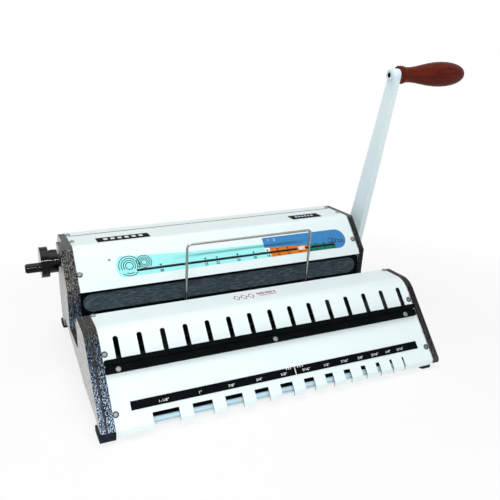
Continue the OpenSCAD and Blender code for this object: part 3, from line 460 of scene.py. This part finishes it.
BY_SLOT = {
    "white_sheet": SHEET_WHITE, "hammertone": HAMMER_SHADED, "dark_pad": PAD,
    "black_paint": BLACK, "pale_paint": LEVER_PAINT, "steel": STEEL, "zinc": ZINC,
    "black_screw": BLACK_STEEL_AND_SHADE, "bronze": BRONZE, "bright_wire": WIRE,
    "rubber": RUBBER, "red_wood": WOOD, "black_plastic": GLOSS_BLACK,
    "black_plate": PLATE, "pointer_red": POINTER, "tray_grey": TRAY,
}
BY_NODE = {
    "base_pan": PAN_PAINT, "front_cover": SLOTTED_WHITE,
    "left_side_plate": HAMMER_LEFT_LIT, "left_side_cover": HAMMER_LEFT_LIT,
    "flush_screws": SCREW, "cover_screws": SCREW, "anvil_screws": SCREW,
    # Painted shade: these inside parts take the black steel finish so that they read dark through
    # the slots.
    "guide_rods": BLACK_STEEL_AND_SHADE, "size_spindle": BLACK_STEEL_AND_SHADE, "tie_rods": BLACK_STEEL_AND_SHADE,
    "grip_bolt": socket_head("grip_bolt_head", "grip_bolt"),
}


def dress_nodes():
    """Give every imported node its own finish, or else the finish of its slot."""
    slots = {s["node"]: s["material_slot"] for s in frame["record"]["subparts"]}
    for name, obj in frame["nodes"].items():
        finish = BY_NODE.get(name, BY_SLOT[slots[name]])
        obj.data.materials.clear()
        obj.data.materials.append(finish)


# Printed marks and painted shade: thin flat pieces on a face, placed in that face's
# millimetres. Marks that cross other marks lie a little higher.
ON_FACE, ON_INK, OVER_MARKS = 0.0, 0.05, 0.06
PRINT_DEPTH, SHADE_RING_DEPTH, FIGURE_DEPTH = 0.05, 0.08, 0.02
FIGURE_STEPS = 3  # straight pieces of each curve in a figure


def keep(name, bm, finish):
    """Turn a built mesh into an object with a finish that rides on the frame."""
    mesh = bpy.data.meshes.new(name)
    bm.to_mesh(mesh)
    bm.free()
    obj = bpy.data.objects.new(name, mesh)
    bpy.context.scene.collection.objects.link(obj)
    mesh.materials.append(finish)
    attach(obj, "frame")


def flat_piece(name, matrix, outlines, height, finish, depth=PRINT_DEPTH):
    """One object of flat outlines with a small thickness, at a height over the face."""
    bm = bmesh.new()
    for outline in outlines:
        low = [bm.verts.new((x, y, height)) for x, y in outline]
        high = [bm.verts.new((x, y, height + depth)) for x, y in outline]
        bm.faces.new(high)
        bm.faces.new(list(reversed(low)))
        n = len(outline)
        for i in range(n):
            bm.faces.new((low[i], low[(i + 1) % n], high[(i + 1) % n], high[i]))
    bm.transform(matrix)
    bmesh.ops.recalc_face_normals(bm, faces=bm.faces)
    keep(name, bm, finish)


def box_outline(x0, x1, y0, y1):
    """A rectangle."""
    return [(x0, y0), (x1, y0), (x1, y1), (x0, y1)]


def block_row(starts, width, span):
    """A row of equal rectangles: where each starts along X, and from where to where
    they reach in Y."""
    return [box_outline(x, x + width, *span) for x in starts]


def ring_outlines(cx, cy, radius, width, parts):
    """A ring as short flat pieces that share their ends; radius is its outer one."""
    def spot(r, a):
        return (cx + r * math.cos(a), cy + r * math.sin(a))
    turns = [math.radians(360.0 * i / parts) for i in range(parts + 1)]
    return [[spot(radius - width, a), spot(radius, a), spot(radius, b),
             spot(radius - width, b)] for a, b in zip(turns, turns[1:])]


def figure(name, words, size, weight, place):
    """Plain figures as a text curve, centred on a place; weight thickens them."""
    curve = bpy.data.curves.new(name, "FONT")
    curve.body = words
    curve.size = size
    curve.align_x = "CENTER"
    curve.align_y = "CENTER"
    curve.extrude = FIGURE_DEPTH
    curve.offset = weight
    curve.resolution_u = FIGURE_STEPS
    obj = bpy.data.objects.new(name, curve)
    bpy.context.scene.collection.objects.link(obj)
    obj.matrix_world = place
    return obj


def numbers(name, matrix, items, height, finish, size, weight=0.12, wide=1.0):
    """Plain figures on a face as one mesh; items are (text, x, y) of the middle."""
    made = [figure(f"{name}_{i}", words, size, weight,
                   matrix @ Matrix.Translation((x, y, height)) @ Matrix.Diagonal((wide, 1, 1, 1)))
            for i, (words, x, y) in enumerate(items)]
    bpy.context.view_layer.update()
    graph = bpy.context.evaluated_depsgraph_get()
    bm = bmesh.new()
    for obj in made:
        part = bpy.data.meshes.new_from_object(obj.evaluated_get(graph))
        part.transform(obj.matrix_world)
        bm.from_mesh(part)
        bpy.data.meshes.remove(part)
    for obj in made:
        curve = obj.data
        bpy.data.objects.remove(obj)
        bpy.data.curves.remove(curve)
    keep(name, bm, finish)


# Size chart on the rear slope, round the pointer slot. X runs along the machine and S up
# the slope from the lip of the paper throat.
SLOT_S, SLOT_HALF = 19.5, 1.2
SLOT_LOW, SLOT_HIGH = SLOT_S - SLOT_HALF, SLOT_S + SLOT_HALF
CHART_LEFT, BLUE_X, ORANGE_X, GREEN_X, CHART_RIGHT = -123.0, 52.0, 59.0, 115.0, 159.0
LEFT_FOOT_S, ORANGE_FOOT_S, GREEN_FOOT_S, RIGHT_FOOT_S = 12.4, 12.9, 13.2, 13.0
CYAN_TOP_S, ORANGE_TOP_S, GREEN_TOP_S, GREEN_TIP_S = 39.2, 26.6, 23.6, SLOT_HIGH + 0.6
BLUE_END, BLUE_END_X_RADIUS, BLUE_END_S_RADIUS = (163.0, 27.0), 14.2, 14.4
TICK_X = (-92.0, -33.0, -17.3, 11.6, 34.8, 55.0, 70.0, 85.0, 102.5, 119.8, 128.5, 141.5, 153.5)
FIGURES = ("28", "25", "22", "20", "18", "16", "14", "12", "11", "9", "8", "7", "6")
FIGURES_DOWN = 3.2  # from the slot to the middle of the figures
TICK_TALL, TICK_CAP, TICK_HALF, TICK_CAP_HALF = 3.2, 1.3, 0.5, 1.5

# Rings at the left end, each as its middle, its share of the radii, the width of its
# line and its number of parts, and a row of smaller rings at the right end
RING_RADII, RING_CLEARANCE = (13.6, 10.6, 7.8, 5.2), 1.6
LEFT_RINGS = (((-131.0, 26.4), 1.0, 1.0, 40), ((-112.0, 28.8), 0.72, 0.85, 32))
SMALL_RADII, SMALL_WIDTH, SMALL_PARTS = (4.4, 3.8, 3.2, 2.6, 2.0), 0.8, 20
SMALL_MIDDLE, SMALL_STEP = (153.0, 25.2), (4.6, -0.5)

# Painted shade along the slot's edges: how far it reaches over the slot and outwards, and its
# height
SLOT_SHADE_IN, SLOT_SHADE_OUT, SLOT_SHADE_HEIGHT = 0.2, 0.4, 0.02


def under_slot(x0, x1, s0, s1):
    """Area between the slot and a lower edge that runs from s0 to s1."""
    return [(x0, s0), (x1, s1), (x1, SLOT_LOW), (x0, SLOT_LOW)]


def over_slot(x0, x1, s0, s1):
    """Area between the slot and an upper edge that runs from s0 to s1."""
    return [(x0, SLOT_HIGH), (x1, SLOT_HIGH), (x1, s1), (x0, s0)]


def chart_areas(face):
    """Coloured areas: cyan at the left, orange and green on both sides of the slot, and
    blue with a round end at the right."""
    left_end = [(-147, 22), (-145, 16), (-141, 12.6), (CHART_LEFT, LEFT_FOOT_S),
                (CHART_LEFT, CYAN_TOP_S), (-141, 40.4), (-145, 36), (-147, 30)]
    upper_band = [(CHART_LEFT, SLOT_HIGH), (BLUE_X, SLOT_HIGH), (BLUE_X, 33), (-60, 35.6),
                  (CHART_LEFT, CYAN_TOP_S)]
    lower_band = under_slot(CHART_LEFT, ORANGE_X, LEFT_FOOT_S, ORANGE_FOOT_S)
    cyan = [left_end, lower_band, upper_band]
    flat_piece("chart_cyan", face, cyan, ON_FACE, CYAN_INK)
    turns = [math.radians(a) for a in range(0, 181, 12)]
    round_end = [(BLUE_END[0] + BLUE_END_X_RADIUS * math.sin(a),
                  BLUE_END[1] - BLUE_END_S_RADIUS * math.cos(a)) for a in turns]
    blue = [(BLUE_X, 27), (115.5, GREEN_TOP_S), (CHART_RIGHT, GREEN_TIP_S),
            (CHART_RIGHT, 12.8), *round_end, (BLUE_X, 41.4)]
    flat_piece("chart_blue", face, [blue], ON_FACE, BLUE_INK)
    orange = [under_slot(ORANGE_X, GREEN_X, ORANGE_FOOT_S, GREEN_FOOT_S),
              over_slot(ORANGE_X, GREEN_X, ORANGE_TOP_S, GREEN_TOP_S)]
    flat_piece("chart_orange", face, orange, ON_FACE, ORANGE_INK)
    green = [under_slot(GREEN_X, CHART_RIGHT, GREEN_FOOT_S, RIGHT_FOOT_S),
             over_slot(GREEN_X, CHART_RIGHT, GREEN_TOP_S, GREEN_TIP_S)]
    flat_piece("chart_green", face, green, ON_FACE, GREEN_INK)


def chart_marks(face):
    """T-shaped ticks over the slot and plain numbers under it."""
    top = SLOT_HIGH + TICK_TALL
    ticks = [box_outline(x - TICK_HALF, x + TICK_HALF, SLOT_HIGH, top) for x in TICK_X]
    ticks += [box_outline(x - TICK_CAP_HALF, x + TICK_CAP_HALF, top - TICK_CAP, top)
              for x in TICK_X]
    flat_piece("chart_ticks", face, ticks, ON_INK, DARK_INK)
    row = [(words, x, SLOT_LOW - FIGURES_DOWN) for words, x in zip(FIGURES, TICK_X)]
    numbers("chart_numbers", face, row, OVER_MARKS, DARK_INK, size=5.0,
            weight=0.16)
    numbers("chart_blue_marks", face, [("1", 60, 37.4), ("2", 69, 37.2)], OVER_MARKS,
            PALE_INK, size=4.6)
    numbers("chart_side_mark", face, [("30", -154, 37.2)], OVER_MARKS, DARK_INK,
            size=3.8)


def chart_rings(face):
    """Plain rings at both ends of the chart, left open where the pointer passes."""
    rings = []
    for radius in RING_RADII:
        for middle, share, width, parts in LEFT_RINGS:
            rings += ring_outlines(*middle, radius * share, width, parts)
    clear = [p for p in rings if all(abs(s - SLOT_S) > RING_CLEARANCE for x, s in p)]
    flat_piece("chart_rings", face, clear, ON_INK, DARK_INK)
    small = []
    for i, radius in enumerate(SMALL_RADII):
        x, s = (SMALL_MIDDLE[k] + SMALL_STEP[k] * i for k in (0, 1))
        small += ring_outlines(x, s, radius, SMALL_WIDTH, SMALL_PARTS)
    flat_piece("chart_small_rings", face, small, ON_INK, DARK_INK)


def slot_shade(face):
    """Painted shade: a dark line along both sides of the pointer slot."""
    x0, x1 = CHART_LEFT + 0.2, CHART_RIGHT + 0.6
    shade_lines = [box_outline(x0, x1, SLOT_HIGH - SLOT_SHADE_IN, SLOT_HIGH + SLOT_SHADE_OUT),
           box_outline(x0, x1, SLOT_LOW - SLOT_SHADE_OUT, SLOT_LOW + SLOT_SHADE_IN)]
    flat_piece("slot_shade", face, shade_lines, SLOT_SHADE_HEIGHT, DARK_INK)


def chart():
    """Size chart: coloured areas, marks along the slot and plain rings at its ends, with painted
    shade along the slot's edges.
    """
    face = slope_matrix(THROAT_LIP)
    chart_areas(face)
    chart_marks(face)
    chart_rings(face)
    slot_shade(face)


# Wire gauge: marks and figures over the notches, on top of the strip that carries them
NOTCH_X = (-141.5, -102, -66.5, -34, -4, 24, 50, 74, 95.5, 115.5, 134, 151.5)
NOTCH_SIZE = ("1-1/8", "1", "7/8", "3/4", "5/8", "9/16", "1/2", "7/16", "3/8", "5/16",
              "1/4", "3/16")
STRIP_TOP = 0.6         # the strip's face over the cover
GAUGE_FIGURES_S = 20.3
GAUGE_LINE_X, GAUGE_LINE_S, GAUGE_TICK_S, GAUGE_HALF = 10.5, 16.9, (24.2, 26.1), 0.5
GAUGE_TICKS = (-10, -7.5, -5, 4, 7, 10)  # from the long line


def gauge():
    """Inch figures of the notches, with a long line and short ticks in their middle."""
    face = slope_matrix(FRONT_BEND)
    items = [(words + '"', x, GAUGE_FIGURES_S) for words, x in zip(NOTCH_SIZE, NOTCH_X)]
    numbers("gauge_numbers", face, items, STRIP_TOP + 0.02, PALE_INK,
            size=3.9, weight=0.02, wide=1.2)
    low, high = GAUGE_TICK_S
    ticks = [box_outline(GAUGE_LINE_X - GAUGE_HALF, GAUGE_LINE_X + GAUGE_HALF,
                         GAUGE_LINE_S, high)]
    ticks += [box_outline(x - GAUGE_HALF, x + GAUGE_HALF, low, high)
              for x in (GAUGE_LINE_X + d for d in GAUGE_TICKS)]
    flat_piece("gauge_ticks", face, ticks, STRIP_TOP + 0.01, PALE_INK)


# Print on the front top and on the two plates, X and Y of the machine. Each row of
# blocks is what block_row takes.
RHOMBUS_X, RHOMBUS_Y = (-27.0, -18.0, -9.0), 92.5
RHOMBUS_RADII, RHOMBUS_TALL = (4.4, 3.2), 1.7
FRONT_ROWS = (((0, 3.3, 6.6, 11, 14.3, 17.6, 22), 2.2, (93.0, 98.5)),
              (range(1, 22, 2), 1.3, (88.5, 90.8)))
PLATE_ROWS = ((range(-154, -104, 9), 5.0, (219.0, 226.0)),
              (range(118, 148, 5), 2.8, (224.0, 229.0)))


def rhombus(x, y, r):
    """A rhombus round a middle, taller than it is wide."""
    tall = RHOMBUS_TALL * r
    return [(x + r, y), (x, y + tall), (x - r, y), (x, y - tall)]


def front_print():
    """Small red print on the front top: three open rhombi beside two rows of blocks."""
    shapes = []
    for x in RHOMBUS_X:
        outer, inner = (rhombus(x, RHOMBUS_Y, r) for r in RHOMBUS_RADII)
        shapes += [[outer[i], outer[(i + 1) % 4], inner[(i + 1) % 4], inner[i]]
                   for i in range(4)]
    for row in FRONT_ROWS:
        shapes += block_row(*row)
    flat_piece("front_print", top_matrix(FRONT_TOP_Z), shapes, ON_FACE, RED_INK)


def plate_print():
    """Plain pale dashes on the two plates on top."""
    shapes = [outline for row in PLATE_ROWS for outline in block_row(*row)]
    flat_piece("plate_print", top_matrix(PLATE_TOP_Z), shapes, ON_FACE, PALE_INK)


# Painted shade in the gap between the upper and the rear cover: its ends, its place and half the
# line's width
SEAM_X, SEAM_Y, SEAM_HALF = (-192, 189), 256.0, 1.1


def seam_shade():
    """Painted shade: a dark line along the gap between the upper and the rear cover."""
    line = box_outline(*SEAM_X, SEAM_Y - SEAM_HALF, SEAM_Y + SEAM_HALF)
    flat_piece("seam_shade", top_matrix(REAR_TOP_Z), [line], ON_FACE, DARK_INK)


# Screws at both ends of the slopes: X from the middle of the cover, S up the slope, and
# the outer radius, width and number of parts of the rings of painted shade round them
SCREW_X = 190.15
FRONT_SCREW_S, FRONT_SHADE_RING = (16.4, 78.5), (3.4, 1.3, 20)
REAR_SCREW_S, REAR_SHADE_RING = 23.2, (3.6, 1.05, 20)


def screw_shade_rings():
    """Painted shade as a dark edge round the screws: in the countersinks of the front slope
    and round the heads on the rear slope."""
    sides = (-SCREW_X - ROW_X, SCREW_X - ROW_X)
    front = [p for x in sides for s in FRONT_SCREW_S for p in ring_outlines(x, s, *FRONT_SHADE_RING)]
    flat_piece("front_screw_shade", slope_matrix(FRONT_BEND), front, ON_FACE, DARK_INK,
               SHADE_RING_DEPTH)
    rear = [p for x in sides for p in ring_outlines(x, REAR_SCREW_S, *REAR_SHADE_RING)]
    flat_piece("rear_screw_shade", slope_matrix(THROAT_LIP), rear, ON_FACE, DARK_INK,
               SHADE_RING_DEPTH)


# Stage and camera. The camera stands where its view lays the edges of the machine over
# those of the photo.
CAMERA_AT = (-290.29, -550.05, 368.72)
CAMERA_LOOK = Vector((0.3814, 0.8751, -0.2979))
FOCAL_PX = 634.6
IMAGE_PX = 500
SENSOR = 36.0
FLOOR_HALF = 6.0
FADE_FROM, FADE_TO = 0.30, 0.60  # distance from the origin over which the floor whitens
FLOOR_WHITE = 0.80               # share of pure white on the floor under the machine

# Lamps: where they stand and point in millimetres of the machine, size in metres, power
# in watts. The flash is a flat strip, which gives sharp level highlights.
MACHINE_MIDDLE = (0, 120, 80)
LAMPS = {
    "flash": dict(place=(-470, -1250, 851), aim=(-470, 120, 80), size=0.84, power=15.4,
                  thin=0.02),
    "overhead": dict(place=(0, 100, 1300), aim=MACHINE_MIDDLE, size=1.2, power=9.1),
    "left_fill": dict(place=(-1300, 0, 600), aim=MACHINE_MIDDLE, size=1.0, power=4.0),
}
WORLD_TONE, WORLD_STRENGTH = (0.95, 0.98, 1.0, 1), 0.09


def camera():
    """The photo's camera."""
    data = bpy.data.cameras.new("camera")
    data.sensor_width = SENSOR
    data.lens = SENSOR * FOCAL_PX / IMAGE_PX
    data.clip_start = 0.01
    obj = bpy.data.objects.new("camera", data)
    obj.location = at(*CAMERA_AT)
    obj.rotation_euler = CAMERA_LOOK.to_track_quat("-Z", "Y").to_euler()
    bpy.context.scene.collection.objects.link(obj)
    bpy.context.scene.camera = obj


def white_for_camera(tree, surface, out, share):
    """Mix a share of pure white over a surface where the camera sees it, straight, in a
    mirror or through glass. The share is a number or the output of another node."""
    path = tree.nodes.new("ShaderNodeLightPath")
    glow = tree.nodes.new("ShaderNodeEmission")
    glow.inputs["Strength"].default_value = 1.0
    seen = path.outputs["Is Camera Ray"]
    for ray in ("Is Glossy Ray", "Is Transmission Ray"):
        either = tree.nodes.new("ShaderNodeMath")
        either.operation = "MAXIMUM"
        tree.links.new(seen, either.inputs[0])
        tree.links.new(path.outputs[ray], either.inputs[1])
        seen = either.outputs[0]
    amount = tree.nodes.new("ShaderNodeMath")
    amount.operation = "MULTIPLY"
    tree.links.new(seen, amount.inputs[0])
    if isinstance(share, float):
        amount.inputs[1].default_value = share
    else:
        tree.links.new(share, amount.inputs[1])
    mix = tree.nodes.new("ShaderNodeMixShader")
    for source, socket in ((amount.outputs[0], mix.inputs["Fac"]), (surface, mix.inputs[1]),
                           (glow.outputs[0], mix.inputs[2]), (mix.outputs[0], out)):
        tree.links.new(source, socket)


def floor():
    """White table that keeps a soft shadow near the machine and fades to the backdrop."""
    mesh = bpy.data.meshes.new("floor")
    corners = box_outline(-FLOOR_HALF, FLOOR_HALF, -FLOOR_HALF, FLOOR_HALF)
    mesh.from_pydata([(x, y, 0) for x, y in corners], [], [(0, 1, 2, 3)])
    obj = bpy.data.objects.new("floor", mesh)
    bpy.context.scene.collection.objects.link(obj)
    g = Graph("floor_white", Roughness=0.9)
    g.colour(g.between(g.noise(3.0, 2.0), (0.92, 0.92, 0.92), (0.94, 0.94, 0.94)))
    share = g.range(g.length(g.place), FADE_FROM, FADE_TO, FLOOR_WHITE)
    out = g.tree.nodes["Material Output"].inputs["Surface"]
    white_for_camera(g.tree, g.shader.outputs[0], out, share)
    mesh.materials.append(g.mat)


def lamp(name, place, aim, size, power, thin=None):
    """A round lamp, or a strip of the height thin."""
    data = bpy.data.lights.new(name, "AREA")
    data.shape = "RECTANGLE" if thin else "DISK"
    data.size = size
    if thin:
        data.size_y = thin
    data.energy = power
    obj = bpy.data.objects.new(name, data)
    obj.location = at(*place)
    obj.rotation_euler = (at(*aim) - at(*place)).to_track_quat("-Z", "Y").to_euler()
    bpy.context.scene.collection.objects.link(obj)


def lights():
    """A weak even world, white where it is seen, and the lamps."""
    world = bpy.data.worlds.new("world")
    world.use_nodes = True
    bpy.context.scene.world = world
    tree = world.node_tree
    fill = tree.nodes["Background"]
    fill.inputs["Color"].default_value = WORLD_TONE
    fill.inputs["Strength"].default_value = WORLD_STRENGTH
    out = tree.nodes["World Output"].inputs["Surface"]
    white_for_camera(tree, fill.outputs[0], out, 1.0)
    for name, settings in LAMPS.items():
        lamp(name, **settings)


dress_nodes()
chart()
gauge()
front_print()
plate_print()
seam_shade()
screw_shade_rings()
floor()
camera()
lights()
bpy.context.scene.view_settings.view_transform = "Standard"
